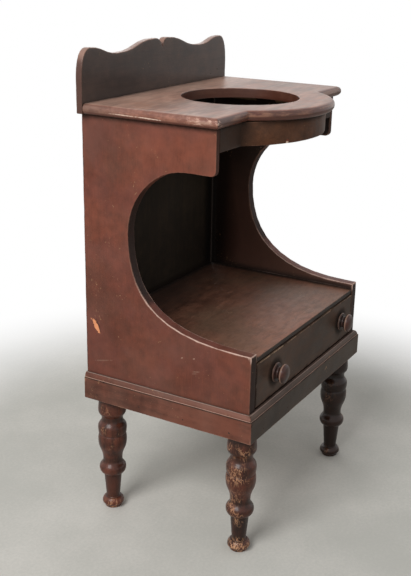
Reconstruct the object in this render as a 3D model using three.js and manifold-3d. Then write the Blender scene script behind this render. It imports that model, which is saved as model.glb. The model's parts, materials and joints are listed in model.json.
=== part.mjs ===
// A painted country washstand. A pine case stands on four turned legs, with a drawer under an
// open shelf. Each side is one board, scooped out so that its upper end reaches forward as an arm
// under the top. The top has a bow front and a round hole for a basin, and a shaped splash board
// stands behind it. Millimetres, +Z up, +X to the right, the front faces -Y.

import * as THREE from "three";
import { mergeVertices } from "three/addons/utils/BufferGeometryUtils.js";
import Module from "manifold-3d";

const wasm = await Module();
wasm.setup();

// Clearances
const fit = 0.3; // between a piece and the cut that it sits in
const overrun = 4; // how far a cutting tool runs past the wood

// Case
const caseWidth = 480;
const caseDepth = 354;
const sideThickness = 21;
const baseThickness = 22;
const backThickness = 8;
const backRecess = 1; // the back board's outer face inside the sides' back edges
const backRabbetWidth = 10;
const backShrinkage = 3; // gap that the back board has left at the right side
const bayHeight = 396.5; // shelf to the underside of the top
const shelfThickness = 9.5;
const shelfSetback = 2; // behind the front edges of the sides
const shelfHousingDepth = 5;
const shelfHousingStop = 16; // uncut wood at the front of each housing
const railThickness = 21;

// Scooped sides
const sillRise = 9.5; // the sides' front corners above the shelf
const sillLength = 24.5; // straight edge before the scoop starts to climb
const scoopSpine = 97.5; // wood left behind the scoop at its deepest
const scoopClimb = 181; // from the sill up to the deepest point
const armSetback = 79; // an arm's front behind the front of the case
const armDepth = 81;
const armStraight = 59; // straight lower edge of an arm
const armTipRadius = 10;
const armLip = 11; // wood left outside the apron's rabbet
const rightSillExtra = 2.5; // the right side's front corner above the left's
const rightSpineExtra = 1.5; // what the right scoop leaves behind it, more than the left

// Top
const topSideOverhang = 15;
const topFrontOverhang = 10.5; // past the arms
const topThickness = 19;
const topEdgeFlat = 1; // upright strip left in the middle of the rounded edge
const bowRadius = 183;
const bowProjection = 78; // in front of the top's straight front edges
const basinHoleRadius = 110.5;
const basinHoleLead = 7.5; // the hole's centre in front of the bow's

// Splash board
const splashThickness = 13;
const splashEarHeight = 90; // above the top, as the next two are
const splashValleyHeight = 76;
const splashLobeHeight = 96;
const splashNotchDepth = 17;
const splashNotchOffset = 4; // the notch sits a little right of the middle
const splashFall = 7.5; // the right end was sawn lower than the left
const splashEarDrop = 49; // rounded stretch at each end
const splashEarInset = 26;
const splashValleyInset = 111;
const splashLobeInset = 234;

// Apron
const apronHeight = 42;
const apronThickness = 18;
const apronRadius = 208;
const apronProjection = 69.5; // in front of the arms

// Base moulding
const mouldingHeight = 53;
const mouldingProjection = 10;
const mouldingFaceHeight = 43;
const mouldingQuirk = 1.8; // step between the face and the rounded top
const mouldingShoulder = 1.2; // flat ledge left against the case

// Legs
const legLength = 243;
const legRadius = 28.4;
const legSideInset = 25; // leg's axis from the side of the case
const legFrontInset = 25;
const legBackInset = 40;
const legTenonRadius = 14;
const legTenonLength = 19;

// Drawer
const drawerFrontHeight = 84.5;
const drawerFrontThickness = 20;
const drawerSideGap = 1;
const drawerTopGap = 1.5;
const drawerLift = 4; // gap under the front
const drawerSideDrop = 4.5; // the sides' top edges below the front's
const drawerSideThickness = 12;
const drawerBackThickness = 12;
const drawerRear = 24; // room behind the drawer
const drawerBottomThickness = 7;
const drawerGrooveHeight = 8;
const drawerGrooveDepth = 5;
const dovetailLap = 5; // wood left in front of the tails
const dovetailRoot = 7; // half height of a tail where it leaves the side
const dovetailFlare = 3; // what it gains towards its end
const dovetailHeightShares = [0.4, 0.77]; // tail centres up the drawer's side
const runnerWidth = 18;
const stopWidth = 25;
const stopHeight = 20;

// Knobs
const knobSpacing = 304;
const knobOffset = 10; // the pair sits a little right of the middle
const knobRoseRadius = 18.5;
const knobRoseThickness = 6;
const knobNeckRadius = 11;
const knobNeckLength = 4;
const knobHeadRadius = 18.3;
const knobHeadSwell = 7.5; // neck to the widest part of the head
const knobDomeHeight = 8;
const knobTenonRadius = 6;

// Glue blocks
const blockLeg = 22;
const sideBlockLength = 70;
const sideBlockGap = 45; // between the rear and the front pair
const apronBlockLength = 38;
const apronBlockInset = 29; // from a side's inner face

// Share of its run or rise that a curve's handle takes
const scoopLowerRiseShare = 0.55;
const scoopLowerRunShare = 0.83;
const rightLowerRiseShare = 0.6;
const rightLowerRunShare = 0.7;
const scoopUpperRiseShare = 0.53;
const scoopUpperRunShare = 0.54;
const notchRunShare = 0.14;
const notchRiseShare = 0.25;
const earDropShare = 0.35;

// Curve quality
const curveSteps = 12;
const splashSteps = 6; // for each stretch of the splash's edge
const bowSteps = 40;
const edgeSteps = 3; // across the moulding's round
const topEdgeSteps = 5; // across each half of the top's rounded edge
const holeSteps = 56;
const turningSteps = 4; // for each stretch of a turned profile
const turningSides = 18;

// Heights above the floor
const baseTop = legLength + baseThickness;
const railTop = legLength + mouldingHeight;
const drawerBottomEdge = railTop + drawerLift;
const drawerTopEdge = drawerBottomEdge + drawerFrontHeight;
const shelfUnderside = drawerTopEdge + drawerTopGap;
const shelfTop = shelfUnderside + shelfThickness;
const sillTop = shelfTop + sillRise;
const topUnderside = shelfTop + bayHeight;
const topSurface = topUnderside + topThickness;
const armBottom = topUnderside - armDepth;

// Half widths, and places along Y with the back of the case at 0 and the front at -caseDepth
const caseHalf = caseWidth / 2;
const innerHalf = caseHalf - sideThickness;
const topHalf = caseHalf + topSideOverhang;
const topEdgeRadius = (topThickness - topEdgeFlat) / 2;
const backFace = backThickness + backRecess; // the back board's face towards the bay
const armReach = caseDepth - armSetback;
const apronReach = armReach + apronProjection;
const topFront = armReach + topFrontOverhang;
const bowReach = topFront + bowProjection;
const bowCentre = bowReach - bowRadius;
const drawerHalf = innerHalf - drawerSideGap;
const drawerInnerHalf = drawerHalf - drawerSideThickness;
const drawerFrontBack = caseDepth - drawerFrontThickness;
const knobDepth = knobRoseThickness + knobNeckLength + knobHeadSwell + knobDomeHeight;
const overallReach = Math.max(caseDepth + knobDepth, bowReach);

const colours = {
  paint: 0x6d4033,
  frontPaint: 0x4a3a33,
  shadedPaint: 0x3a2a24,
  topPaint: 0x7a5548,
  turned: 0x5a3328,
  bareWood: 0x8a6848,
};

// Solids

function solidOf(geometry) {
  const bare = geometry.clone();
  bare.deleteAttribute("normal");
  bare.deleteAttribute("uv");
  const merged = mergeVertices(bare);
  return new wasm.Manifold(
    new wasm.Mesh({
      numProp: 3,
      vertProperties: merged.attributes.position.array,
      triVerts: new Uint32Array(merged.index.array),
    }),
  );
}

function geometryOf(solid) {
  const { vertProperties, triVerts } = solid.getMesh();
  const geometry = new THREE.BufferGeometry();
  geometry.setAttribute("position", new THREE.BufferAttribute(vertProperties, 3));
  geometry.setIndex(new THREE.BufferAttribute(triVerts, 1));
  geometry.computeVertexNormals();
  return geometry;
}

function cut(geometry, tools) {
  const start = solidOf(geometry);
  return geometryOf(tools.reduce((left, tool) => left.subtract(solidOf(tool)), start));
}

// A block between two corners, given in any order.
function block([x0, y0, z0], [x1, y1, z1]) {
  const box = new THREE.BoxGeometry(Math.abs(x1 - x0), Math.abs(y1 - y0), Math.abs(z1 - z0));
  return box.translate((x0 + x1) / 2, (y0 + y1) / 2, (z0 + z1) / 2);
}

function extrude(shape, depth, options = {}) {
  return new THREE.ExtrudeGeometry(shape, {
    depth,
    bevelEnabled: false,
    curveSegments: curveSteps,
    ...options,
  });
}

// An outline drawn in Y and Z, given a thickness along X from x0 to x1.
function boardAcrossX(shape, x0, x1) {
  const turn = new THREE.Matrix4().makeBasis(
    new THREE.Vector3(0, 1, 0),
    new THREE.Vector3(0, 0, 1),
    new THREE.Vector3(1, 0, 0),
  );
  const board = extrude(shape, Math.abs(x1 - x0)).applyMatrix4(turn);
  return board.translate(Math.min(x0, x1), 0, 0);
}

// An outline drawn in X and Z, given a thickness along Y from yFront to yBack.
function boardAcrossY(shape, yFront, yBack) {
  const turn = new THREE.Matrix4().makeBasis(
    new THREE.Vector3(1, 0, 0),
    new THREE.Vector3(0, 0, 1),
    new THREE.Vector3(0, -1, 0),
  );
  return extrude(shape, yBack - yFront).applyMatrix4(turn).translate(0, yBack, 0);
}

// An outline drawn in X and Y, from z0 up to z1.
function boardAcrossZ(shape, z0, z1) {
  return extrude(shape, z1 - z0).translate(0, 0, z0);
}

function outline(points) {
  return new THREE.Shape(points.map(([a, b]) => new THREE.Vector2(a, b)));
}

// Points round part of a circle, from one angle to another.
function arc(x, y, radius, from, to, steps) {
  const angles = Array.from({ length: steps + 1 }, (_, i) => from + ((to - from) * i) / steps);
  return angles.map((angle) => [x + radius * Math.cos(angle), y + radius * Math.sin(angle)]);
}

// An upright cylinder from z0 to z1, for bores.
function post(radius, x, y, z0, z1, sides) {
  const cylinder = new THREE.CylinderGeometry(radius, radius, z1 - z0, sides);
  return cylinder.rotateX(Math.PI / 2).translate(x, y, (z0 + z1) / 2);
}

function piece(name, geometry, color, roughness = 0.55) {
  const material = new THREE.MeshStandardMaterial({ color, roughness, metalness: 0 });
  const mesh = new THREE.Mesh(geometry, material);
  mesh.name = name;
  return mesh;
}

// Case

// The two scoops were sawn by eye, and the right one is a little shallower.
function scoopOf(hand) {
  const left = {
    sill: sillTop,
    spine: scoopSpine,
    riseShare: scoopLowerRiseShare,
    runShare: scoopLowerRunShare,
  };
  const right = {
    sill: sillTop + rightSillExtra,
    spine: scoopSpine + rightSpineExtra,
    riseShare: rightLowerRiseShare,
    runShare: rightLowerRunShare,
  };
  return hand < 0 ? left : right;
}

// The scoop climbs from the sill to its deepest point and runs back out under the arm.
function sideOutline(hand) {
  const { sill, spine, riseShare, runShare } = scoopOf(hand);
  const deepest = sillTop + scoopClimb;
  const climb = deepest - sill;
  const sillEnd = -caseDepth + sillLength;
  const armStart = -armReach + armStraight;
  const lowerRun = -spine - sillEnd;
  const upperRun = -spine - armStart;
  const upperRise = armBottom - deepest;
  const shape = new THREE.Shape();
  shape.moveTo(0, baseTop);
  shape.lineTo(-caseDepth, baseTop);
  shape.lineTo(-caseDepth, sill);
  shape.lineTo(sillEnd, sill);
  shape.bezierCurveTo(
    sillEnd + lowerRun * runShare,
    sill,
    -spine,
    deepest - climb * riseShare,
    -spine,
    deepest,
  );
  shape.bezierCurveTo(
    -spine,
    deepest + upperRise * scoopUpperRiseShare,
    armStart + upperRun * scoopUpperRunShare,
    armBottom,
    armStart,
    armBottom,
  );
  shape.absarc(
    -armReach + armTipRadius,
    armBottom + armTipRadius,
    armTipRadius,
    -Math.PI / 2,
    -Math.PI,
    true,
  );
  shape.lineTo(-armReach, topUnderside);
  shape.lineTo(0, topUnderside);
  shape.closePath();
  return shape;
}

function side(hand) {
  const inner = hand * innerHalf;
  const pastInner = hand * (innerHalf - overrun);
  const board = boardAcrossX(sideOutline(hand), inner, hand * caseHalf);
  const backRabbet = block(
    [pastInner, -backFace, baseTop - overrun],
    [inner + hand * backRabbetWidth, overrun, topUnderside + overrun],
  );
  const shelfHousing = block(
    [pastInner, -caseDepth + shelfHousingStop, shelfUnderside - fit],
    [inner + hand * shelfHousingDepth, overrun - backFace, shelfTop + fit],
  );
  const apronRabbet = block(
    [pastInner, -armReach - overrun, armBottom - overrun],
    [hand * (caseHalf - armLip), -armReach + apronThickness + fit, topUnderside + overrun],
  );
  return cut(board, [backRabbet, shelfHousing, apronRabbet]);
}

function baseBoard() {
  const board = block([-caseHalf, -caseDepth, legLength], [caseHalf, 0, baseTop]);
  const sockets = legPlaces().map(({ x, y }) =>
    post(legTenonRadius + fit, x, y, legLength - overrun, legLength + legTenonLength + fit, turningSides),
  );
  return cut(board, sockets);
}

function backBoard() {
  const left = -innerHalf - backRabbetWidth + fit;
  const right = innerHalf - backShrinkage;
  return block([left, -backFace, baseTop], [right, -backRecess, topUnderside]);
}

// The shelf's front corners are notched where the housings stop.
function shelf() {
  const tongue = innerHalf + shelfHousingDepth - fit;
  const plain = innerHalf - fit;
  const front = -caseDepth + shelfSetback;
  const notch = -caseDepth + shelfHousingStop + fit;
  const back = -backFace - fit;
  const plan = outline([
    [-tongue, back],
    [-tongue, notch],
    [-plain, notch],
    [-plain, front],
    [plain, front],
    [plain, notch],
    [tongue, notch],
    [tongue, back],
  ]);
  return boardAcrossZ(plan, shelfUnderside, shelfTop);
}

function frontRail() {
  return block(
    [-innerHalf, -caseDepth, baseTop],
    [innerHalf, -caseDepth + railThickness, railTop],
  );
}

// Base moulding

// The section stands out from the case along its first axis: a plain face, a small quirk, and a
// quarter round that runs back to a ledge.
function mouldingSection() {
  const roundFoot = mouldingProjection - mouldingQuirk;
  const roundHeight = mouldingHeight - mouldingFaceHeight;
  const shape = new THREE.Shape();
  shape.moveTo(0, 0);
  shape.lineTo(mouldingProjection, 0);
  shape.lineTo(mouldingProjection, mouldingFaceHeight);
  shape.lineTo(roundFoot, mouldingFaceHeight);
  shape.absellipse(
    mouldingShoulder,
    mouldingFaceHeight,
    roundFoot - mouldingShoulder,
    roundHeight,
    0,
    Math.PI / 2,
    false,
  );
  shape.lineTo(0, mouldingHeight);
  shape.closePath();
  return shape;
}

// A length of moulding from 0 to length along its third axis. Each mitred end runs on by as much
// as a point of the section stands out, so that two lengths meet at 45 degrees.
function mouldingLength(length, mitreStart, mitreEnd) {
  const geometry = extrude(mouldingSection(), length, { curveSegments: edgeSteps });
  const place = geometry.attributes.position;
  for (let i = 0; i < place.count; i += 1) {
    const out = place.getX(i);
    const atStart = place.getZ(i) < length / 2;
    if (atStart && mitreStart) place.setZ(i, -out);
    if (!atStart && mitreEnd) place.setZ(i, length + out);
  }
  return geometry;
}

function orient(geometry, out, up, along, origin) {
  const turn = new THREE.Matrix4().makeBasis(out, up, along);
  return geometry.applyMatrix4(turn).translate(origin.x, origin.y, origin.z);
}

function mouldings() {
  const axis = (x, y, z) => new THREE.Vector3(x, y, z);
  const up = axis(0, 0, 1);
  const left = orient(
    mouldingLength(caseDepth, true, false),
    axis(-1, 0, 0),
    up,
    axis(0, 1, 0),
    axis(-caseHalf, -caseDepth, legLength),
  );
  const right = orient(
    mouldingLength(caseDepth, false, true),
    axis(1, 0, 0),
    up,
    axis(0, -1, 0),
    axis(caseHalf, 0, legLength),
  );
  const front = orient(
    mouldingLength(caseWidth, true, true),
    axis(0, -1, 0),
    up,
    axis(-1, 0, 0),
    axis(caseHalf, -caseDepth, legLength),
  );
  return [
    piece("moulding_left", left, colours.paint),
    piece("moulding_front", front, colours.frontPaint),
    piece("moulding_right", right, colours.paint),
  ];
}

// Top, splash and apron

function topBoard() {
  const meet = Math.asin((topFront - bowCentre) / bowRadius);
  const plan = [
    [-topHalf, 0],
    [-topHalf, -topFront],
    ...arc(0, -bowCentre, bowRadius, Math.PI + meet, 2 * Math.PI - meet, bowSteps),
    [topHalf, -topFront],
    [topHalf, 0],
  ];
  const board = extrude(outline(plan), topThickness - 2 * topEdgeRadius, {
    bevelEnabled: true,
    bevelSize: topEdgeRadius,
    bevelThickness: topEdgeRadius,
    bevelOffset: -topEdgeRadius,
    bevelSegments: topEdgeSteps,
  }).translate(0, 0, topUnderside + topEdgeRadius);
  const behind = block(
    [-topHalf - overrun, -splashThickness, topUnderside - overrun],
    [topHalf + overrun, overrun, topSurface + overrun],
  );
  const hole = post(
    basinHoleRadius,
    0,
    -bowCentre - basinHoleLead,
    topUnderside - overrun,
    topSurface + overrun,
    holeSteps,
  );
  return cut(board, [behind, hole]);
}

// A point of the splash's upper edge, at a height above the top.
function splashPoint(x, height) {
  const fall = (splashFall * x) / (2 * topHalf);
  return new THREE.Vector2(x, topSurface + height - fall);
}

// The bottom of the notch between the lobes.
function splashNotch() {
  return splashPoint(splashNotchOffset, splashLobeHeight - splashNotchDepth);
}

// One half of the splash's upper edge, from the notch to the end. The curve passes the lobe, the
// valley and the ear level, and turns down into the upright end.
function splashHalf(hand) {
  const at = splashPoint;
  const lobe = hand * (topHalf - splashLobeInset);
  const valley = hand * (topHalf - splashValleyInset);
  const ear = hand * (topHalf - splashEarInset);
  const end = hand * topHalf;
  const wave = (x0, height0, x1, height1) => {
    const middle = (x0 + x1) / 2;
    return new THREE.CubicBezierCurve(
      at(x0, height0),
      at(middle, height0),
      at(middle, height1),
      at(x1, height1),
    );
  };
  const run = lobe - splashNotchOffset;
  const curves = [
    new THREE.CubicBezierCurve(
      splashNotch(),
      at(splashNotchOffset + run * notchRunShare, splashLobeHeight - splashNotchDepth * notchRiseShare),
      at(lobe - run / 2, splashLobeHeight),
      at(lobe, splashLobeHeight),
    ),
    wave(lobe, splashLobeHeight, valley, splashValleyHeight),
    wave(valley, splashValleyHeight, ear, splashEarHeight),
    new THREE.CubicBezierCurve(
      at(ear, splashEarHeight),
      at((ear + end) / 2, splashEarHeight),
      at(end, splashEarHeight - splashEarDrop * earDropShare),
      at(end, splashEarHeight - splashEarDrop),
    ),
  ];
  return curves.flatMap((curve) => curve.getPoints(splashSteps).slice(1));
}

function splash() {
  const points = [
    new THREE.Vector2(topHalf, topUnderside),
    ...splashHalf(1).reverse(),
    splashNotch(),
    ...splashHalf(-1),
    new THREE.Vector2(-topHalf, topUnderside),
  ];
  return boardAcrossY(new THREE.Shape(points), -splashThickness, 0);
}

// The apron runs straight out of one arm's rabbet, bows forward, and runs straight into the other.
function apron() {
  const end = caseHalf - armLip - fit;
  const centre = apronRadius - apronReach;
  const back = -armReach + apronThickness;
  const innerRadius = apronRadius - apronThickness;
  const meet = Math.asin((armReach + centre) / apronRadius);
  const innerMeet = Math.asin((centre - back) / innerRadius);
  const plan = [
    [-end, -armReach],
    ...arc(0, centre, apronRadius, Math.PI + meet, 2 * Math.PI - meet, bowSteps / 2),
    [end, -armReach],
    [end, back],
    ...arc(0, centre, innerRadius, 2 * Math.PI - innerMeet, Math.PI + innerMeet, bowSteps / 2),
    [-end, back],
  ];
  return boardAcrossZ(outline(plan), topUnderside - apronHeight, topUnderside);
}

// Turned work

// A turned profile in radius and height. Each station is [height, radius, form]: a "swell" is met
// along the axis, a "crease" square to it, and a "cone" is reached by a straight line.
function turning(stations) {
  const path = new THREE.Path();
  const [firstHeight, firstRadius] = stations[0];
  path.moveTo(0, firstHeight);
  path.lineTo(firstRadius, firstHeight);
  stations.slice(1).forEach(([height, radius, form], i) => {
    const [lastHeight, lastRadius, lastForm] = stations[i];
    if (form === "cone") {
      path.lineTo(radius, height);
      return;
    }
    const rise = height - lastHeight;
    const growth = radius - lastRadius;
    const early = lastForm === "swell" ? [0, rise / 2] : [growth / 2, 0];
    const late = form === "swell" ? [0, rise / 2] : [growth / 2, 0];
    path.bezierCurveTo(
      lastRadius + early[0],
      lastHeight + early[1],
      radius - late[0],
      height - late[1],
      radius,
      height,
    );
  });
  const [lastHeight] = stations[stations.length - 1];
  path.lineTo(0, lastHeight);
  return new THREE.LatheGeometry(path.getPoints(turningSteps), turningSides);
}

// Heights are shares of the leg's length, radii shares of its greatest radius.
const legTurningShares = [
  [0, 0.53, "crease"],
  [0.045, 0.76, "swell"],
  [0.09, 0.5, "crease"],
  [0.095, 0.47, "cone"],
  [0.305, 0.62, "cone"],
  [0.312, 0.66, "crease"],
  [0.362, 0.935, "swell"],
  [0.44, 0.675, "swell"],
  [0.622, 1, "swell"],
  [0.672, 0.92, "crease"],
  [0.73, 1, "swell"],
  [0.81, 0.74, "swell"],
  [0.882, 0.97, "swell"],
  [1, 0.9, "swell"],
];

function leg() {
  const stations = legTurningShares.map(([heightShare, radiusShare, form]) => [
    heightShare * legLength,
    radiusShare * legRadius,
    form,
  ]);
  stations.push([legLength, legTenonRadius, "cone"]);
  stations.push([legLength + legTenonLength, legTenonRadius, "cone"]);
  return turning(stations).rotateX(Math.PI / 2);
}

function legPlaces() {
  const x = caseHalf - legSideInset;
  const front = -caseDepth + legFrontInset;
  return [
    { name: "leg_front_left", x: -x, y: front },
    { name: "leg_front_right", x, y: front },
    { name: "leg_back_left", x: -x, y: -legBackInset },
    { name: "leg_back_right", x, y: -legBackInset },
  ];
}

// A knob's profile starts at the inner end of its tenon and ends at the crown of its head.
function knob() {
  const neck = knobRoseThickness + knobNeckLength;
  const widest = neck + knobHeadSwell;
  const rim = knobRoseThickness / 2;
  return turning([
    [-drawerFrontThickness, knobTenonRadius, "cone"],
    [0, knobTenonRadius, "cone"],
    [0, knobRoseRadius - rim / 2, "cone"],
    [rim, knobRoseRadius, "swell"],
    [knobRoseThickness, knobRoseRadius - rim, "crease"],
    [neck, knobNeckRadius, "swell"],
    [widest, knobHeadRadius, "swell"],
    [knobDepth, 0, "crease"],
  ]).rotateX(Math.PI);
}

function knobPlaces() {
  const y = -caseDepth;
  const z = (drawerBottomEdge + drawerTopEdge) / 2;
  return [
    { name: "knob_left", x: knobOffset - knobSpacing / 2, y, z },
    { name: "knob_right", x: knobOffset + knobSpacing / 2, y, z },
  ];
}

// Drawer

const drawerSideTop = drawerTopEdge - drawerSideDrop;
const drawerSideHeight = drawerSideTop - drawerBottomEdge;
const drawerBottomFace = drawerBottomEdge + drawerGrooveHeight;
const drawerFloor = drawerBottomFace + drawerBottomThickness;
const frontTailLength = drawerFrontThickness - dovetailLap;
const drawerBackFront = drawerRear + drawerBackThickness;

// The corners of one dovetail that leaves the wood at y = root and ends at y = tip.
function tail(root, tip, share, gap = 0) {
  const middle = drawerBottomEdge + drawerSideHeight * share;
  const narrow = dovetailRoot + gap;
  const wide = narrow + dovetailFlare;
  return [
    [root, middle - narrow],
    [tip, middle - wide],
    [tip, middle + wide],
    [root, middle + narrow],
  ];
}

function drawerSideOutline() {
  const frontTip = -drawerFrontBack - frontTailLength + fit;
  const rising = dovetailHeightShares.flatMap((share) => tail(-drawerBackFront, -drawerRear, share));
  const falling = dovetailHeightShares.flatMap((share) => tail(-drawerFrontBack, frontTip, share));
  return outline([
    [-drawerFrontBack, drawerBottomEdge],
    [-drawerRear, drawerBottomEdge],
    [-drawerRear, drawerFloor],
    [-drawerBackFront, drawerFloor],
    ...rising,
    [-drawerBackFront, drawerSideTop],
    [-drawerFrontBack, drawerSideTop],
    ...falling.reverse(),
  ]);
}

// The groove that the bottom slides into, along both sides and across the front.
function bottomGroove() {
  return block(
    [-drawerInnerHalf - drawerGrooveDepth, -drawerFrontBack - drawerGrooveDepth, drawerBottomFace - fit],
    [drawerInnerHalf + drawerGrooveDepth, overrun - drawerRear, drawerFloor + fit],
  );
}

function drawerSide(hand) {
  const board = boardAcrossX(drawerSideOutline(), hand * drawerInnerHalf, hand * drawerHalf);
  return cut(board, [bottomGroove()]);
}

// Sockets for the tails at both ends of a drawer's front or back.
function sockets(root, tip) {
  const past = drawerHalf + overrun;
  const inside = drawerInnerHalf - fit;
  return [-1, 1].flatMap((hand) =>
    dovetailHeightShares.map((share) =>
      boardAcrossX(outline(tail(root, tip, share, fit)), hand * inside, hand * past),
    ),
  );
}

function drawerFront() {
  const board = block(
    [-drawerHalf, -caseDepth, drawerBottomEdge],
    [drawerHalf, -drawerFrontBack, drawerTopEdge],
  );
  const bores = knobPlaces().map(({ x, z }) =>
    new THREE.CylinderGeometry(
      knobTenonRadius + fit,
      knobTenonRadius + fit,
      drawerFrontThickness + 2 * overrun,
      turningSides,
    ).translate(x, -caseDepth + drawerFrontThickness / 2, z),
  );
  const tailSockets = sockets(-drawerFrontBack + fit, -drawerFrontBack - frontTailLength);
  return cut(board, [bottomGroove(), ...tailSockets, ...bores]);
}

function drawerBack() {
  const board = block(
    [-drawerHalf, -drawerBackFront, drawerFloor + fit],
    [drawerHalf, -drawerRear, drawerSideTop],
  );
  return cut(board, sockets(-drawerBackFront - fit, -drawerRear + fit));
}

function drawerBottom() {
  const half = drawerInnerHalf + drawerGrooveDepth - fit;
  return block(
    [-half, -drawerFrontBack - drawerGrooveDepth + fit, drawerBottomFace],
    [half, -drawerRear, drawerFloor],
  );
}

// Hidden blocks and runners

function runner(hand) {
  return block(
    [hand * innerHalf, -caseDepth + railThickness, baseTop],
    [hand * (innerHalf - runnerWidth), -backFace, drawerBottomEdge - fit],
  );
}

function stop(hand) {
  const foot = drawerBottomEdge - fit;
  return block(
    [hand * innerHalf, -drawerRear + fit, foot],
    [hand * (innerHalf - stopWidth), -backFace, foot + stopHeight],
  );
}

function sideBlock(hand, yBack) {
  const inner = hand * innerHalf;
  const section = outline([
    [inner, topUnderside],
    [inner - hand * blockLeg, topUnderside],
    [inner, topUnderside - blockLeg],
  ]);
  return boardAcrossY(section, yBack - sideBlockLength, yBack);
}

function apronBlock(hand) {
  const back = -armReach + apronThickness;
  const outer = innerHalf - apronBlockInset;
  const section = outline([
    [back, topUnderside],
    [back + blockLeg, topUnderside],
    [back, topUnderside - blockLeg],
  ]);
  return boardAcrossX(section, hand * outer, hand * (outer - apronBlockLength));
}

// Assembly

function buildStand() {
  const stand = new THREE.Group();
  stand.add(
    piece("base_board", baseBoard(), colours.bareWood),
    piece("side_left", side(-1), colours.paint),
    piece("side_right", side(1), colours.paint),
    piece("back_board", backBoard(), colours.shadedPaint),
    piece("shelf", shelf(), colours.topPaint),
    piece("front_rail", frontRail(), colours.frontPaint),
    piece("apron", apron(), colours.frontPaint),
    piece("top", topBoard(), colours.topPaint, 0.4),
    piece("splash", splash(), colours.shadedPaint),
    ...mouldings(),
  );
  for (const { name, x, y } of legPlaces()) {
    const mesh = piece(name, leg(), colours.turned, 0.45);
    mesh.position.set(x, y, 0);
    stand.add(mesh);
  }
  const blockStep = sideBlockLength + sideBlockGap;
  const blockRoom = armReach - apronThickness - backFace;
  const rearBlock = -backFace - (blockRoom - blockStep - sideBlockLength) / 2;
  const frontBlock = rearBlock - blockStep;
  for (const [word, hand] of [["left", -1], ["right", 1]]) {
    stand.add(
      piece(`runner_${word}`, runner(hand), colours.bareWood),
      piece(`stop_${word}`, stop(hand), colours.bareWood),
      piece(`rear_block_${word}`, sideBlock(hand, rearBlock), colours.bareWood),
      piece(`front_block_${word}`, sideBlock(hand, frontBlock), colours.bareWood),
      piece(`apron_block_${word}`, apronBlock(hand), colours.bareWood),
    );
  }
  return stand;
}

function buildDrawer() {
  const drawer = new THREE.Group();
  drawer.add(
    piece("drawer_front", drawerFront(), colours.frontPaint),
    piece("drawer_left", drawerSide(-1), colours.bareWood),
    piece("drawer_right", drawerSide(1), colours.bareWood),
    piece("drawer_back", drawerBack(), colours.bareWood),
    piece("drawer_bottom", drawerBottom(), colours.bareWood),
  );
  for (const { name, x, y, z } of knobPlaces()) {
    const mesh = piece(name, knob(), colours.turned, 0.4);
    mesh.position.set(x, y, z);
    drawer.add(mesh);
  }
  return drawer;
}

// The origin is on the floor under the middle of the stand, from the knobs to the back.
const washstand = new THREE.Group();
washstand.add(buildStand(), buildDrawer());
washstand.position.y = overallReach / 2;

export default washstand;
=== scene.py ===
# %% [markdown]
# # A painted washstand, dressed
#
# The joiner's model of the stand already exists as a frame of plain solids, one for each board,
# leg, block and knob. This lesson dresses that frame: it rounds and wears the edges of the boards,
# turns the legs and knobs finely, drives the nails, and builds the old paint, the rubbed top and
# the bare wood as materials worked out by nodes. Everything is in metres, in the frame's own axes,
# so a piece goes where the frame says.

# %% The frame
import json
import math

import bmesh
import bpy
from mathutils import Matrix, Vector, noise
from mathutils.bvhtree import BVHTree
from mathutils.kdtree import KDTree


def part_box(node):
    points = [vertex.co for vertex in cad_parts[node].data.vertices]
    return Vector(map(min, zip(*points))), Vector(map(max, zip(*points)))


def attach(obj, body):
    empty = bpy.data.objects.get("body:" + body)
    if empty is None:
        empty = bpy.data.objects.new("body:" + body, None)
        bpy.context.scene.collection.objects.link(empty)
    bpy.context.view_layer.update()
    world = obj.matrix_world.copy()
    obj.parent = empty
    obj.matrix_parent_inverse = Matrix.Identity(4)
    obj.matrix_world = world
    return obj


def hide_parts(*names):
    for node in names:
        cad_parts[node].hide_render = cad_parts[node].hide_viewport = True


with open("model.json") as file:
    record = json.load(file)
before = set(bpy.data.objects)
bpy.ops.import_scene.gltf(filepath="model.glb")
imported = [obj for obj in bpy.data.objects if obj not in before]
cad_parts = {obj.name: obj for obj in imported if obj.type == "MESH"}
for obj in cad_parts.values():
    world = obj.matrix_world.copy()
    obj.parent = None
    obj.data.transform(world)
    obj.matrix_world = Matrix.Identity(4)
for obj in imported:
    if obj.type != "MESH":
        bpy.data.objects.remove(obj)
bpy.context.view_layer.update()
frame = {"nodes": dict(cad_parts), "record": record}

nodes = frame["nodes"]
body_of = {
    name: body
    for body, names in frame["record"]["behaviour"]["bodies"].items()
    for name in names
}

# %% [markdown]
# ## The camera
#
# The camera stands where the photographer stood: to the left of the stand, a little above its top,
# looking down across it. Its place was worked out from the case's own straight edges, so it is set
# down as measured: a point, a compass turn, a tilt and the slight lean of a camera held by hand.

# %% The photographer's place
SENSOR = 36.0
FOCAL_LENGTH = 60.23
CAMERA_PLACE = Vector((-1.6052, -0.8557, 1.0649))
CAMERA_TURN = -1.0486
CAMERA_TILT = -0.33605
CAMERA_LEAN = 0.0208

camera_data = bpy.data.cameras.new("camera")
camera_data.sensor_width = SENSOR
camera_data.lens = FOCAL_LENGTH
camera = bpy.data.objects.new("camera", camera_data)
bpy.context.scene.collection.objects.link(camera)
camera.matrix_world = (
    Matrix.Translation(CAMERA_PLACE)
    @ Matrix.Rotation(CAMERA_TURN, 4, "Z")
    @ Matrix.Rotation(math.pi / 2 + CAMERA_TILT, 4, "X")
    @ Matrix.Rotation(CAMERA_LEAN, 4, "Z")
)
bpy.context.scene.camera = camera
bpy.context.scene.view_settings.view_transform = "Standard"
print(f"camera {CAMERA_PLACE.length:.2f} m from the middle of the floor")

# %% [markdown]
# ## A small language for materials
#
# Old paint is a sum of many faint things: broad fading, brush marks, rubbed edges, chips, dirt in
# the corners. Wired by hand in the node editor that soon turns into a web nobody can read. Here a
# socket is wrapped in a class that understands Python's own plus, minus and times, so a layer can
# be written as a sum.

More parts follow.
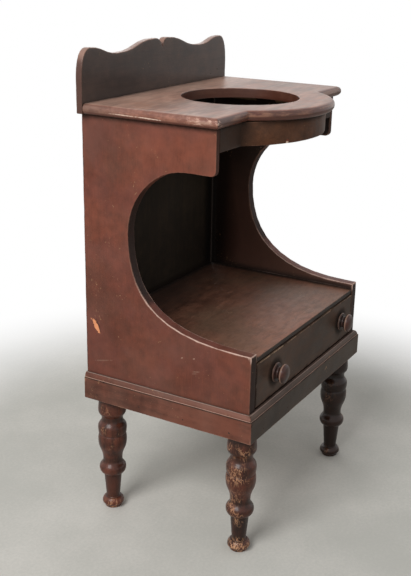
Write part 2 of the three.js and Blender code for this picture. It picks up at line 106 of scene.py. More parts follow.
# %% Sockets that take part in sums
class Value:
    """A node's output that can be added, multiplied and raised to a power like a number."""

    def __init__(self, finish, socket):
        self.finish = finish
        self.socket = socket

    def _math(self, operation, *operands):
        sockets = dict(enumerate(operands))
        return self.finish.node("ShaderNodeMath", {"operation": operation}, sockets)

    def __add__(self, other):
        return self._math("ADD", self, other)

    __radd__ = __add__

    def __sub__(self, other):
        return self._math("SUBTRACT", self, other)

    def __rsub__(self, other):
        return self._math("SUBTRACT", other, self)

    def __mul__(self, other):
        return self._math("MULTIPLY", self, other)

    __rmul__ = __mul__

    def __pow__(self, other):
        return self._math("POWER", self, other)

    def __abs__(self):
        return self._math("ABSOLUTE", self)

    def most(self, other):
        return self._math("MAXIMUM", self, other)


# %% Colours from a chart
def colour(red, green, blue):
    """A colour picked from a chart, 0 to 255, made ready for a socket."""
    shares = [channel / 255 for channel in (red, green, blue)]
    return (*[s / 12.92 if s <= 0.04045 else ((s + 0.055) / 1.055) ** 2.4 for s in shares], 1.0)


print(f"half way up the chart is {colour(128, 128, 128)[0]:.3f} on a socket")

# %% [markdown]
# ## A material under construction
#
# A finish is one material while it is being built. One method adds any node, and the rest name the
# few moves that every finish here is made of: a cloud of noise, a soft step, a blend of two
# colours, the way that a face looks, a band between two places. It ends in one Principled shader
# with a bump, which is all that old paint, bare wood and rusty iron need.

# %% The moves of a finish
COAT_ROUGHNESS = 0.16


class Finish:
    """A material under construction. Its layers read the place on the piece, in metres."""

    def __init__(self, name):
        self.material = bpy.data.materials.new(name)
        self.material.use_nodes = True
        self.tree = self.material.node_tree
        self.tree.nodes.clear()
        self.place = self.node("ShaderNodeTexCoord", output="Object")

    def node(self, kind, settings=None, sockets=None, output=0):
        """Adds a node: its settings first, then numbers, colours or links on its sockets."""
        made = self.tree.nodes.new(kind)
        for key, value in (settings or {}).items():
            setattr(made, key, value)
        for key, value in (sockets or {}).items():
            if isinstance(value, Value):
                self.tree.links.new(value.socket, made.inputs[key])
            else:
                made.inputs[key].default_value = value
        return Value(self, made.outputs[output])

    def cloud(self, scale, detail=4.0, roughness=0.55, across=(1, 1, 1), shift=0.0):
        """Noise from 0 to 1 with features about 1 / scale metres wide, drawn out by across."""
        placing = {"Vector": self.place, "Scale": across, "Location": (shift,) * 3}
        where = self.node("ShaderNodeMapping", None, placing)
        sockets = {"Vector": where, "Scale": scale, "Detail": detail, "Roughness": roughness}
        return self.node("ShaderNodeTexNoise", None, sockets)

    def step(self, value, low, high):
        """0 below low, 1 above high and a soft step between. Low may be above high."""
        smooth = {"interpolation_type": "SMOOTHSTEP"}
        return self.node("ShaderNodeMapRange", smooth, {0: value, 1: low, 2: high})

    def blend(self, share, first, second):
        """The first colour where share is 0, the second where it is 1."""
        sockets = {0: share, 6: first, 7: second}
        return self.node("ShaderNodeMix", {"data_type": "RGBA"}, sockets, output=2)

    def attribute(self, name):
        return self.node("ShaderNodeAttribute", {"attribute_name": name}, output="Fac")

    def along(self, axis):
        """The place along an axis: 0 for X, 1 for Y and 2 for Z."""
        return self.node("ShaderNodeSeparateXYZ", None, {0: self.place}, output=axis)

    def facing(self, axis, way=1.0, low=0.6, high=0.8):
        """1 where the surface faces along an axis, or against it if way is -1, and 0 elsewhere."""
        normal = self.node("ShaderNodeNewGeometry", output="Normal")
        share = self.node("ShaderNodeSeparateXYZ", None, {0: normal}, output=axis)
        return self.step(share * way, low, high)

    def band(self, axis, low, high, soft):
        """1 between two places along an axis, with a soft border of its own width."""
        where = self.along(axis)
        return self.step(where, low - soft, low) * self.step(where, high + soft, high)

    def done(self, base, roughness, height, depth, coat=0.0, specular=0.5, metallic=0.0):
        """Ends the tree. Height is in shares of depth, and depth in metres."""
        bump = self.node("ShaderNodeBump", None, {"Distance": depth, "Height": height})
        sockets = {
            "Base Color": base,
            "Roughness": roughness,
            "Normal": bump,
            "Coat Weight": coat,
            "Coat Roughness": COAT_ROUGHNESS,
            "Specular IOR Level": specular,
            "Metallic": metallic,
        }
        shader = self.node("ShaderNodeBsdfPrincipled", None, sockets)
        out = self.tree.nodes.new("ShaderNodeOutputMaterial")
        self.tree.links.new(shader.socket, out.inputs["Surface"])
        print(f"{self.material.name}: {len(self.tree.nodes)} nodes")
        return self.material


# %% [markdown]
# ## Two measures of every surface
#
# Paint wears off where hands, cloths and feet reach it, along the sharp edges, and dirt stays where
# they don't, in the corners, where shade falls too and is painted in as a darker colour. A material
# can't see either, so the mesh tells it: every point of a board carries its distance to the nearest
# sharp edge, and how closely another surface shuts it in.
# The distance to edges comes from a tree of points laid along them. The shutting in is found with a
# step outwards from the surface: in the open the nearest wood is the step's own length away, and in
# a corner it is nearer.

# %% One search tree over all the solids
points, faces = [], []
for solid in nodes.values():
    start = len(points)
    points += [v.co.copy() for v in solid.data.vertices]
    faces += [[start + i for i in face.vertices] for face in solid.data.polygons]
all_wood = BVHTree.FromPolygons(points, faces)
print(f"{len(points)} points and {len(faces)} faces of wood to search")

# %% Rim and nook
RIM_REACH = 0.03
NOOK_STEP = 0.018
EDGE_SAMPLE = 0.002


def edge_tree(lines):
    """A search tree of points along straight lines, each given by its two ends."""
    points = []
    for start, end in lines:
        count = math.ceil((end - start).length / EDGE_SAMPLE)
        points += [start.lerp(end, i / count) for i in range(count + 1)]
    tree = KDTree(len(points))
    for i, point in enumerate(points):
        tree.insert(point, i)
    tree.balance()
    return tree


def measure(mesh, edges):
    """Writes both measures on the mesh's points: rim in millimetres, nook from 0 to 1."""
    rim = mesh.attributes.new("rim", "FLOAT", "POINT")
    nook = mesh.attributes.new("nook", "FLOAT", "POINT")
    rims, nooks = [], []
    for vertex in mesh.vertices:
        distance = edges.find(vertex.co)[2] if edges else RIM_REACH
        rims.append(min(distance, RIM_REACH) * 1000)
        outside = vertex.co + vertex.normal * NOOK_STEP
        reach = all_wood.find_nearest(outside, NOOK_STEP)[3]
        nooks.append(0.0 if reach is None else 1 - min(reach / NOOK_STEP, 1))
    rim.data.foreach_set("value", rims)
    nook.data.foreach_set("value", nooks)


print(f"rim is measured as far as {RIM_REACH * 1000:.0f} mm, nook {NOOK_STEP * 1000:.0f} mm out")

# %% [markdown]
# ## Boards with worn edges
#
# The frame's solids have perfectly sharp edges, and no old board does. Each board is a copy of its
# solid: its loose triangles are joined up, the sharp edges are rounded, and the flat faces are
# divided finely enough to carry the two measures. Then the points near an edge sink a little by
# two noises, one slow and one quick, so that the light runs unevenly along it as it does along wood
# that a plane and a century of use have shaped. A Bevel modifier could round the edges, but then
# nothing could be measured on the rounded points.

# %% Dividing faces and wearing edges
MOST_HALVINGS = 8
WEAR_DEPTH = 0.0005
WEAR_REACH = 0.0035
SLOW_WEAR = 38
QUICK_WEAR = 170


def divide(shape, step, chosen=lambda edge: True):
    """Halves the chosen edges until none is longer than step."""
    for _ in range(MOST_HALVINGS):
        long_edges = [e for e in shape.edges if e.calc_length() > step and chosen(e)]
        if not long_edges:
            break
        bmesh.ops.subdivide_edges(shape, edges=long_edges, cuts=1)
        bmesh.ops.triangulate(shape, faces=[f for f in shape.faces if len(f.verts) > 3])


def wear_down(shape, edges, seed):
    """Sinks the points near an edge by slow and quick noise, deepest on the edge itself."""
    shape.normal_update()
    for vertex in shape.verts:
        distance = edges.find(vertex.co)[2]
        if distance > WEAR_REACH:
            continue
        slow = noise.noise(vertex.co * SLOW_WEAR + Vector((seed, 0, 0)))
        quick = noise.noise(vertex.co * QUICK_WEAR + Vector((0, seed, 0)))
        loss = max(0.0, 0.45 + 0.9 * slow + 0.5 * quick) * (1 - distance / WEAR_REACH)
        vertex.co -= vertex.normal * loss * WEAR_DEPTH


# %% From a solid to a worn board
SHARP = math.radians(28)
MERGE = 0.00002
FLAT = math.radians(0.5)
FACE_STEP = 0.011
ARRIS_STEP = 0.0045


def board(name, material, arris, seed):
    """A worn copy of a node's solid, which it then stands for."""
    shape = bmesh.new()
    shape.from_mesh(nodes[name].data)
    bmesh.ops.remove_doubles(shape, verts=shape.verts[:], dist=MERGE)
    bmesh.ops.dissolve_limit(shape, angle_limit=FLAT, verts=shape.verts[:], edges=shape.edges[:])
    sharp = [e for e in shape.edges if e.is_manifold and e.calc_face_angle() > SHARP]
    proud = edge_tree([[v.co.copy() for v in e.verts] for e in sharp if e.is_convex])
    bmesh.ops.bevel(
        shape,
        geom=sharp,
        offset=arris,
        offset_type="OFFSET",
        segments=2,
        profile=0.5,
        affect="EDGES",
        clamp_overlap=True,
    )
    bmesh.ops.triangulate(shape, faces=shape.faces[:])
    divide(shape, FACE_STEP)
    near = {v for v in shape.verts if proud.find(v.co)[2] < 2 * arris}
    divide(shape, ARRIS_STEP, lambda e: e.verts[0] in near and e.verts[1] in near)
    wear_down(shape, proud, seed)
    show(shape, name, material, proud)


# %% From a shape to a piece of the stand
def show(shape, name, material, edges=None):
    """Turns a shape into a finished object that stands for a node and rides on its body."""
    mesh = bpy.data.meshes.new(name + "_finished")
    shape.to_mesh(mesh)
    shape.free()
    mesh.shade_smooth()
    measure(mesh, edges)
    mesh.materials.append(material)
    piece = bpy.data.objects.new(name + "_finished", mesh)
    bpy.context.scene.collection.objects.link(piece)
    piece.modifiers.new("flat faces stay flat", "WEIGHTED_NORMAL")
    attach(piece, body_of[name])
    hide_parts(name)
    print(f"{name}: {len(mesh.polygons)} faces")


# %% [markdown]
# ## Old paint
#
# The stand was painted a red brown more than a century ago, over a paler pink ground, on pine. The
# material starts from the other end: first comes the paint's own colour, which varies slowly over a
# board and in streaks along it, then the ground and the pine where the paint has gone, and last the
# dirt, with the shade of the corners painted in as colour. The share that shows a layer is a sum of
# noises and of the two measures, so one class serves every painted board, and a board differs from
# the next by its colours and by how hard its edges were used.

# %% The layers of a painted board
GROUND = colour(158, 118, 100)
BARE_PINE = colour(186, 146, 108)
# near black, laid on as painted shade in corners, hollows, grooves and shaded parts, and as soot
SHADE_AND_SOOT = colour(30, 23, 19)
DUST = colour(150, 128, 114)

STREAK_SHARE = 0.07
ALONG_X = (STREAK_SHARE, 1.0, 1.0)
ALONG_Y = (1.0, STREAK_SHARE, 1.0)
ALONG_Z = (1.0, 1.0, STREAK_SHARE)


class Paint(Finish):
    """Old paint with its streaks, rubbed edges, flakes, and dirt and painted shade in the corners.
    """

    def __init__(self, name, light, dark, along, shift=0.0, streaky=0.3):
        super().__init__(name)
        broad = self.cloud(5.5, 2.0, shift=shift)
        self.mottle = self.cloud(46, 5.0, 0.6, shift=shift)
        self.streaks = self.cloud(95, 4.0, 0.6, along, shift)
        brush = self.cloud(620, 2.0, 0.5, along, shift)
        tone = broad * 0.55 + self.mottle * 0.4 + self.streaks * streaky + brush * 0.14
        middle = (0.55 + 0.4 + streaky + 0.14) / 2
        self.base = self.blend(self.step(tone, middle - 0.17, middle + 0.17), dark, light)
        self.rough = 0.44 + (self.mottle - 0.5) * 0.3 + (self.streaks - 0.5) * 0.2
        grit = self.cloud(330, 3.0, 0.7, shift=shift)
        self.height = brush * 0.25 + self.streaks * 0.2 + self.mottle * 0.3 + grit * 0.25

    def layer(self, share, tint):
        """Lays a colour over what is there, wholly where share is 1."""
        self.base = self.blend(share, self.base, tint)

    def patches(self, low, high, *cloud, **where):
        """1 inside the patches of a cloud and 0 between them."""
        return self.step(self.cloud(*cloud, **where), low, high)

    def film(self, tint, share, scale=13.0):
        """A thin uneven film over the paint, such as dust or the bloom of old wax."""
        self.layer(self.patches(0.3, 0.75, scale, 4.0, 0.6, shift=3.1) * share, tint)

    def rub(self, amount, reach, ground=GROUND, wood=BARE_PINE):
        """Wears the paint off within reach of the sharp edges, in millimetres, down to the wood."""
        ragged = (self.cloud(150, 3.0, 0.6) - 0.5) * 2.4 + (self.cloud(24, 3.0) - 0.5) * 5.5
        edge = self.attribute("rim") + ragged
        gone = self.step(edge, reach * 0.3, reach * -0.35) * amount
        self.layer(self.step(edge, reach, reach * 0.15) * amount * 0.75, ground)
        self.layer(gone, wood)
        self.rough = self.rough + gone * 0.25
        self.height = self.height - gone * 0.6

    def flakes(self, share):
        """Small flakes of lost paint, thick in some places and missing in others."""
        where = self.patches(0.52, 0.7, 17, 3.0, shift=7.7)
        lost = self.step(self.cloud(210, 2.0, 0.7) + where * 0.12, 0.73, 0.77) * share
        self.layer(lost, BARE_PINE)
        self.height = self.height - lost * 0.2

    def shade_and_dirt_in_corners(self, amount):
        """Darkens the corners, as dirt and as painted shade, and dulls them as dirt."""
        corner_shade_and_dirt = self.step(self.attribute("nook") + (self.mottle - 0.5) * 0.35, 0.12, 0.85)
        self.layer(corner_shade_and_dirt * amount, SHADE_AND_SOOT)
        self.rough = self.rough + corner_shade_and_dirt * 0.3

    def finish(self, depth=0.0005, coat=0.0, specular=0.5):
        return self.done(self.base, self.rough, self.height, depth, coat, specular)


print(f"paint streaks are {1 / STREAK_SHARE:.0f} times as long as they are wide")

# %% [markdown]
# ## Lines that follow an edge
#
# Some wear and some painted shade run round a piece at one height: the worn arris of a round, the
# shade painted into a quirk, the shade painted on the lower half of a nose. Such a line could be a
# strip of mesh with a finish of its own, but any change of the piece would leave it behind. As a
# height under the piece's own top, in millimetres, it is one band in the material, and it moves
# with the piece.

# %% Heights under the top of a piece
def under(name, millimetres):
    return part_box(name)[1][2] - millimetres / 1000


def line(paint, name, start, end, soft):
    """1 on a line round a piece, from start to end millimetres under its top."""
    return paint.band(2, under(name, end), under(name, start), soft)


def below(paint, name, start, end):
    """A soft step from 0 at start to 1 at end, both in millimetres under the top."""
    return paint.step(paint.along(2), under(name, start), under(name, end))


print(f"the top's lines are measured down from z {under('top', 0):.4f}")

# %% [markdown]
# ## Knocks and scratches
#
# Noise gives wear that could be anywhere, but an eye remembers the one gouge by the back edge. A
# texture could hold such marks, at the price of a picture file. Here each is a line between two
# points with a width, a colour and a strength: the material measures how far a point lies from the
# line, in shares of the mark's own half sizes, and noise makes the border ragged.

# %% One mark
MARK_SINK = 0.004
MARK_PIT = 0.5
OUTWARDS = Vector((1, 0, 0))


def mark(paint, start, end, width, tint, strength):
    """One knock or scratch between two points, ragged at its border."""
    start, end = Vector(start), Vector(end)
    forward = (end - start).normalized()
    sideways = forward.cross(OUTWARDS).normalized()
    length = max((end - start).length, width)
    offset = {0: paint.place, 1: (start + end) / 2}
    away = paint.node("ShaderNodeVectorMath", {"operation": "SUBTRACT"}, offset)
    far = (paint.cloud(240, 4.0, 0.7) - 0.5) * 3.6
    for way, half in ((forward, length / 2), (sideways, width / 2), (OUTWARDS, MARK_SINK)):
        pair = {0: away, 1: way / half}
        reach = paint.node("ShaderNodeVectorMath", {"operation": "DOT_PRODUCT"}, pair, "Value")
        far = far + reach**2
    mask = paint.step(far, 1.05, 0.6) * strength
    paint.layer(mask, tint)
    paint.height = paint.height - mask * MARK_PIT


print(f"a mark reaches {MARK_SINK * 1000:.0f} mm into the board")

# %% [markdown]
# ## The sides
#
# The sides face the light and are the reddest. One noise alone looks like marble, so the paint is
# laid in turns: it darkens slowly downwards, then come plum clouds, small brown ones and a little
# dust. The inner faces are painted darker as shade, almost black high up and towards the back, and
# the front edges, the arms' among them, are painted near black as the shade they stand in. The
# scooped edge is rubbed palest low down, where sleeves brushed it, with a painted highlight along
# its pale arris, and the left side has marks of its own, one a painted shadow round a gouge.

# %% Marks of the left side
SIDE_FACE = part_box("side_left")[0][0]
ORANGE_WOOD = colour(228, 152, 108)
PALE_SCRATCH = colour(190, 160, 138)
# each mark's start and end in Y and Z, its width, colour and strength
SIDE_MARKS = [
    # the first, dark mark is a painted shadow along the gouge's edge
    ((0.1725, 0.4085), (0.157, 0.3805), 0.0135, colour(58, 32, 22), 0.6),
    ((0.1745, 0.4085), (0.1585, 0.3795), 0.0095, ORANGE_WOOD, 0.95),
    ((0.1795, 0.4075), (0.1735, 0.4035), 0.0035, ORANGE_WOOD, 0.6),
    ((-0.0222, 0.3712), (-0.0262, 0.3732), 0.0024, PALE_SCRATCH, 0.5),
    ((-0.0474, 0.3752), (-0.0514, 0.3772), 0.0024, PALE_SCRATCH, 0.5),
    ((0.172, 0.3212), (0.1301, 0.3313), 0.0028, PALE_SCRATCH, 0.14),
    ((-0.0456, 0.3499), (-0.0623, 0.3539), 0.0022, PALE_SCRATCH, 0.22),
    ((-0.0456, 0.3459), (-0.0563, 0.3489), 0.0018, PALE_SCRATCH, 0.18),
]
print(f"{len(SIDE_MARKS)} marks on the left side, which lies at x {SIDE_FACE:.3f}")

# %% Red brown paint
PINK_GROUND = colour(176, 138, 122)
# pale pink of worn paint, also laid on as a painted highlight along the scooped edge
PALE_WORN_HIGHLIGHT = colour(222, 192, 178)


def side_paint(name, marks, hand, shift):
    paint = Paint(name, colour(126, 68, 51), colour(91, 50, 38), ALONG_Z, shift, streaky=0.09)
    height, depth = paint.along(2), paint.along(1)
    paint.layer(paint.step(height, 0.62, 0.28) * 0.26, colour(84, 48, 38))
    plum = paint.patches(0.42, 0.6, 8, 4.0, 0.6, shift=shift + 5.0)
    paint.layer(plum * 0.35, colour(114, 66, 59))
    clouds = paint.patches(0.42, 0.68, 26, 5.0, 0.65, shift=shift + 9.0)
    paint.layer(clouds * 0.28, colour(70, 41, 32))
    paint.film(DUST, 0.08)
    # the inner face is painted darker as shade, and almost black high up and towards the back
    inner = paint.facing(0, -hand)
    deep = paint.step(height, 0.42, 0.68).most(paint.step(depth + height * 0.1, 0.14, 0.21))
    paint.layer(inner * 0.8, colour(84, 62, 52))
    paint.layer(inner * deep * 0.9, colour(10, 7, 5))
    # faces turned to the front painted near black as shade, a little less on the arms
    front_edge_shade = paint.facing(1, -1.0)
    arm = paint.step(height, 0.6, 0.7)
    paint.layer(front_edge_shade * (0.92 - arm * 0.16), colour(27, 19, 15))
    foot = paint.step(height, 0.57, 0.45) * paint.step(height, 0.39, 0.4)
    foot = foot * paint.step(depth, 0.1, 0.02)
    paint.rub(0.25, 3.0)
    paint.rub(foot * 0.7, 3.4, PINK_GROUND, PALE_WORN_HIGHLIGHT)
    # a pale line low on the scooped edge: worn paint with a painted highlight on it
    worn_highlight_line = paint.attribute("rim") + (paint.cloud(24, 3.0) - 0.5) * 3.0
    paint.layer(paint.step(worn_highlight_line, 2.2, 0.9) * foot * 0.65, PALE_WORN_HIGHLIGHT)
    paint.flakes(0.35)
    # the groove at the back edge, behind the back board's gap, painted near black as shade
    rabbet_shade = paint.step(depth, 0.166, 0.18) * paint.step(abs(paint.along(0)), 0.2325, 0.231)
    paint.layer(rabbet_shade, SHADE_AND_SOOT)
    paint.rough = paint.rough + front_edge_shade * 0.2 + rabbet_shade * 0.4
    paint.shade_and_dirt_in_corners(0.8)
    for start, end, width, tint, strength in marks:
        mark(paint, (SIDE_FACE, *start), (SIDE_FACE, *end), width, tint, strength)
    return paint.finish(specular=0.2)


side_left_paint = side_paint("red_brown_left", SIDE_MARKS, -1, 0.0)
side_right_paint = side_paint("red_brown_right", [], 1, 4.3)

# %% [markdown]
# ## The dark fronts
#
# The drawer front, the apron and the splash board are darker and greyer than the sides, partly as
# painted shade, since they face away from the light. They could be one material, but each has its
# own wear, so one function lays the paint that they share, and a short one for each board adds the
# rest. The drawer front is worn along its top arris, the apron has its ends painted dark as the
# shade of the top and one chip on its lower edge, and the splash board, which is wiped most, has a
# little more gloss, painted shade to its left and painted light on its faces turned left and up.

# %% The drawer front
# a front's light and dark colours are partly painted shade, for it faces away from the light
def front_paint(name, light, dark, shift=0.0, amount=0.7):
    paint = Paint(name, light, dark, ALONG_X, shift)
    paint.film(DUST, 0.08)
    paint.rub(amount, 2.4)
    paint.flakes(0.3)
    return paint


def drawer_front_paint():
    paint = front_paint("dark_front", colour(80, 59, 48), colour(48, 36, 29))
    arris = line(paint, "drawer_front", -0.1, 1.7, 0.0004)
    worn = paint.patches(0.4, 0.6, 45, 4.0, 0.7, ALONG_X, 4.0)
    paint.layer(arris * worn * 0.9, colour(206, 172, 142))
    paint.shade_and_dirt_in_corners(0.85)
    return paint.finish(specular=0.12)


drawer_paint = drawer_front_paint()

# %% The apron
APRON_CHIP = Vector((-0.082, -0.1379, 0.7485))
# how far each layer reaches up from the board's edge, its width, colour and strength
CHIP_LAYERS = [(0.007, 0.012, colour(132, 66, 50), 0.6), (0.004, 0.008, colour(222, 196, 174), 0.9)]


def apron_front_paint():
    paint = front_paint("dark_apron", colour(98, 62, 42), colour(60, 38, 26), 2.2, 0.4)
    # both ends painted dark as the shade under the top's corners
    paint.layer(paint.step(abs(paint.along(0)), 0.13, 0.16) * 0.75, SHADE_AND_SOOT)
    for rise, width, tint, strength in CHIP_LAYERS:
        mark(paint, APRON_CHIP + Vector((0, 0, rise)), APRON_CHIP, width, tint, strength)
    paint.shade_and_dirt_in_corners(0.85)
    return paint.finish(specular=0.12)


apron_paint = apron_front_paint()

# %% The splash board
def splash_front_paint():
    paint = front_paint("dark_splash", colour(84, 63, 53), colour(54, 40, 34), 6.1, 0.55)
    # darker towards the left: painted shade
    paint.layer(paint.step(paint.along(0), 0.08, -0.24) * 0.35, SHADE_AND_SOOT)
    # faces turned to the left painted redder, as painted light
    paint.layer(paint.facing(0, -1.0) * 0.8, colour(86, 56, 47))
    # upward faces pale pink: ground showing through worn paint, and painted light
    paint.layer(paint.facing(2, 1.0, 0.2, 0.6) * 0.6, PINK_GROUND)
    paint.rough = paint.rough * 0.5 + 0.12
    return paint.finish(0.0003, specular=0.35)


splash_paint = splash_front_paint()

# %% [markdown]
# ## The back board
#
# Inside the bay the paint is a dark brown, darker still as painted shade, and it is painted almost
# black as shade up under the top and in the corner by the gap. Nobody painted the rear, so a board
# that is seen from both sides needs two finishes. They could be two materials, but which way a
# point faces is enough to choose between them in one.

# %% Dark inside, sawn outside
def inside_paint():
    # dark browns, partly painted shade
    paint = Paint("dark_back", colour(55, 46, 37), colour(36, 30, 25), ALONG_Z, 5.0)
    paint.rub(0.3, 1.2)
    # painted shade: almost black high up under the top, and in the corner by the gap
    paint.layer(paint.step(paint.along(2), 0.55, 0.72) * 0.6, colour(12, 9, 7))
    corner = paint.step(paint.along(0), 0.17, 0.206)
    paint.layer(corner * 0.9, colour(9, 7, 5))
    saw_marks = paint.step(paint.streaks, 0.38, 0.62)
    sawn = paint.blend(saw_marks, colour(74, 56, 42), colour(104, 80, 60))
    paint.layer(paint.facing(1, 1.0), sawn)
    paint.rough = paint.rough + 0.2 + corner * 0.3
    paint.shade_and_dirt_in_corners(0.9)
    return paint.finish(specular=0.07)


back_paint = inside_paint()

# %% [markdown]
# ## The top
#
# The top has had the hardest life: water, soap and a basin's rim have rubbed it down to a pale
# brown with a dull sheen, in long patches that run with the grain, paler towards the back with dust
# and a painted sheen. Its rounded edge is a separate story, told by height: redder at the sides,
# painted dark as shade in front and along its lower half, lighter in patches in front where hands
# rested, with a pale scuffed corner that carries a painted highlight and a thin line of bare ground
# along the left. Each patch is a cloud drawn out along X, and a cloud drawn out too little looks
# like stone from above.

# %% The basin hole
openings = {entry["name"]: entry["box_m"] for entry in frame["record"]["physics"]["openings"]}
BASIN_MIDDLE = sum(corner[1] for corner in openings["basin_hole_along"]) / 2
BASIN_RADIUS = min(math.hypot(v.co.x, v.co.y - BASIN_MIDDLE) for v in nodes["top"].data.vertices)
HOLE_ARRIS = 0.0012
print(f"basin hole {BASIN_RADIUS * 2:.4f} m across, its middle at y {BASIN_MIDDLE:.5f}")

# %% The face of the top
def rubbed_face(paint):
    """The flat of the top, patch over patch."""
    worn = paint.patches(0.4, 0.7, 15, 5.0, 0.65, (0.5, 1.0, 1.0), 8.0)
    paint.layer(worn * 0.5, colour(90, 61, 46))
    grime = paint.patches(0.5, 0.72, 40, 3.0, 0.6, (0.4, 1.0, 1.0), 2.0)
    paint.layer(grime * 0.4, colour(80, 54, 42))
    paint.film(colour(188, 160, 144), 0.4, 9.0)
    rusty = paint.patches(0.44, 0.62, 24, 5.0, 0.7, (0.6, 1.0, 1.0), 12.0)
    paint.layer(rusty * 0.35, colour(138, 78, 60))
    wiped = paint.patches(0.47, 0.62, 36, 3.0, 0.6, (0.2, 1.0, 1.0), 15.0)
    paint.layer(wiped * 0.4, colour(92, 66, 50))
    # paler towards the back: dust, and a painted sheen
    dust_and_sheen = paint.step(paint.along(1) + (paint.mottle - 0.5) * 0.08, 0.05, 0.14)
    paint.layer(dust_and_sheen * 0.45, colour(196, 166, 150))
    streaky = paint.patches(0.45, 0.66, 85, 3.0, 0.6, (0.2, 1.0, 1.0), 19.0)
    paint.layer(streaky * 0.36, colour(88, 57, 44))
    rubbed = paint.patches(0.48, 0.72, 100, 3.0, 0.6, (0.18, 1.0, 1.0), 23.0)
    paint.layer(rubbed * 0.26, colour(206, 168, 148))
    paint.rub(0.35, 3.0, colour(166, 116, 92), colour(200, 150, 110))


# %% The rounded edge of the top
def handled_edge(paint):
    """The rounded edge, by its heights under the top's face."""
    depth, side = paint.along(1), paint.along(0)
    nose = below(paint, "top", 1.2, 2.2)
    # the part of the nose that faces the front is painted dark as shade
    front = paint.facing(1, -1.0, 0.05, 0.4) * nose
    paint.layer(nose * 0.5, colour(134, 74, 56))
    paint.layer(front * 0.88, colour(68, 38, 30))
    shaded = paint.patches(0.58, 0.42, 60, 4.0, 0.65, (0.4, 0.4, 1.0), 27.0)
    paint.layer(shaded * nose * 0.5, colour(88, 42, 32))
    paint.layer(paint.step(depth, 0.07, 0.17) * nose * 0.55, colour(80, 58, 46))
    scuffed = paint.patches(0.52, 0.62, 190, 4.0, 0.7, (0.5, 0.5, 1.0), 21.0)
    scuffed = scuffed * paint.step(depth, 0.0, -0.08) * paint.step(side, -0.235, -0.245)
    paint.layer(scuffed * nose * 0.55, colour(226, 186, 166))
    handled = paint.patches(0.44, 0.56, 55, 4.0, 0.7, (0.25, 0.25, 1.0), 6.0)
    handled = handled * line(paint, "top", 4.0, 9.5, 0.002) * front
    paint.layer(handled * 0.5, colour(156, 112, 88))
    paint.layer(line(paint, "top", 0.9, 1.6, 0.0004) * 0.55, colour(104, 50, 40))
    # the lower nose and the underside painted dark as shade
    paint.layer(below(paint, "top", 12.5, 14.5) * 0.8, colour(92, 48, 35))
    paint.layer(below(paint, "top", 16.5, 18.0) * 0.8, colour(44, 28, 22))


# %% The whole top
# pale worn paint, on the corner mark also a painted highlight
PALE_WEAR_AND_GLINT = colour(226, 196, 178)
# each mark's start, end, width, colour and strength
TOP_MARKS = [
    ((-0.2535, 0.12, 0.7995), (-0.2535, 0.06, 0.7985), 0.002, PALE_WEAR_AND_GLINT, 0.75),
    ((-0.2535, 0.065, 0.799), (-0.2535, 0.01, 0.7975), 0.0024, PALE_WEAR_AND_GLINT, 0.9),
    ((-0.2545, -0.045, 0.803), (-0.2545, -0.09, 0.802), 0.006, PALE_WEAR_AND_GLINT, 0.2),
    # the short upright line on the front-left corner is worn paint with a painted highlight
    ((-0.2535, -0.0955, 0.806), (-0.2535, -0.0962, 0.799), 0.0024, PALE_WEAR_AND_GLINT, 0.5),
]


def top_paint():
    paint = Paint("rubbed_top", colour(176, 120, 94), colour(116, 74, 56), ALONG_X, 1.4)
    rubbed_face(paint)
    handled_edge(paint)
    from_middle = {0: paint.place, 1: (1, 1, 0), 2: (0, -BASIN_MIDDLE, 0)}
    across = paint.node("ShaderNodeVectorMath", {"operation": "MULTIPLY_ADD"}, from_middle)
    radius = paint.node("ShaderNodeVectorMath", {"operation": "LENGTH"}, {0: across}, "Value")
    hole_wall = paint.step(radius, BASIN_RADIUS + HOLE_ARRIS, BASIN_RADIUS)
    paint.layer(hole_wall * 0.85, colour(70, 38, 27))
    for place in TOP_MARKS:
        mark(paint, *place)
    paint.shade_and_dirt_in_corners(0.6)
    paint.rough = paint.rough * 0.5 + 0.13
    return paint.finish(0.00005)


board_top_paint = top_paint()

# %% [markdown]
# ## The shelf
#
# The shelf is the top's darker sister: paler towards the front, where things were set down and
# taken up and where light reaches in, painted as light, greyer in patches and painted nearly black
# at the back as the shade under the top. Straight bands would look ruled, so the mottle bends the
# border of the pale part. The front edge lies in the shadow over the drawer and is painted near
# black for it.

# %% Worn shelf
def shelf_paint():
    paint = Paint("worn_shelf", colour(114, 76, 59), colour(68, 44, 34), ALONG_X, 2.6)
    # paler towards the front: wear, and painted light where the light reaches in
    forward = paint.step(paint.along(1) + (paint.mottle - 0.5) * 0.2, 0.06, -0.17)
    paint.layer(forward * 0.62, colour(160, 110, 88))
    paint.layer(paint.patches(0.42, 0.62, 7, 4.0, 0.6, shift=5.5) * 0.35, colour(92, 80, 64))
    grain = paint.patches(0.42, 0.66, 130, 5.0, 0.75, (0.35, 1.0, 1.0))
    paint.layer(grain * 0.4, colour(62, 42, 34))
    # nearly black at the back: painted shade under the top
    back = paint.step(paint.along(1) - paint.along(0) * 0.12, 0.05, 0.17)
    paint.layer(back * 0.6, colour(38, 28, 22))
    paint.rough = paint.rough + back * 0.35
    # the front edge painted near black as its shade over the drawer
    paint.layer(paint.facing(1, -1.0) * 0.95, colour(24, 17, 13))
    paint.rub(0.4, 1.5, colour(150, 108, 82), colour(176, 130, 98))
    paint.flakes(0.4)
    paint.shade_and_dirt_in_corners(0.9)
    return paint.finish(0.0007, specular=0.22)


board_shelf_paint = shelf_paint()

# %% [markdown]
# ## The mouldings
#
# A moulding is read by its lines: the joint against the case has gathered pale dust, a band high on
# the profile near the front is pale with dust and a painted highlight, the arris of the round is
# worn light, and the quirk under it is painted dark as shade. The lines follow the profile, so they
# are set by their heights under the moulding's top, thinner than any noise could draw them. The
# front moulding is painted darker than the side ones as shade, for it faces away from the light.

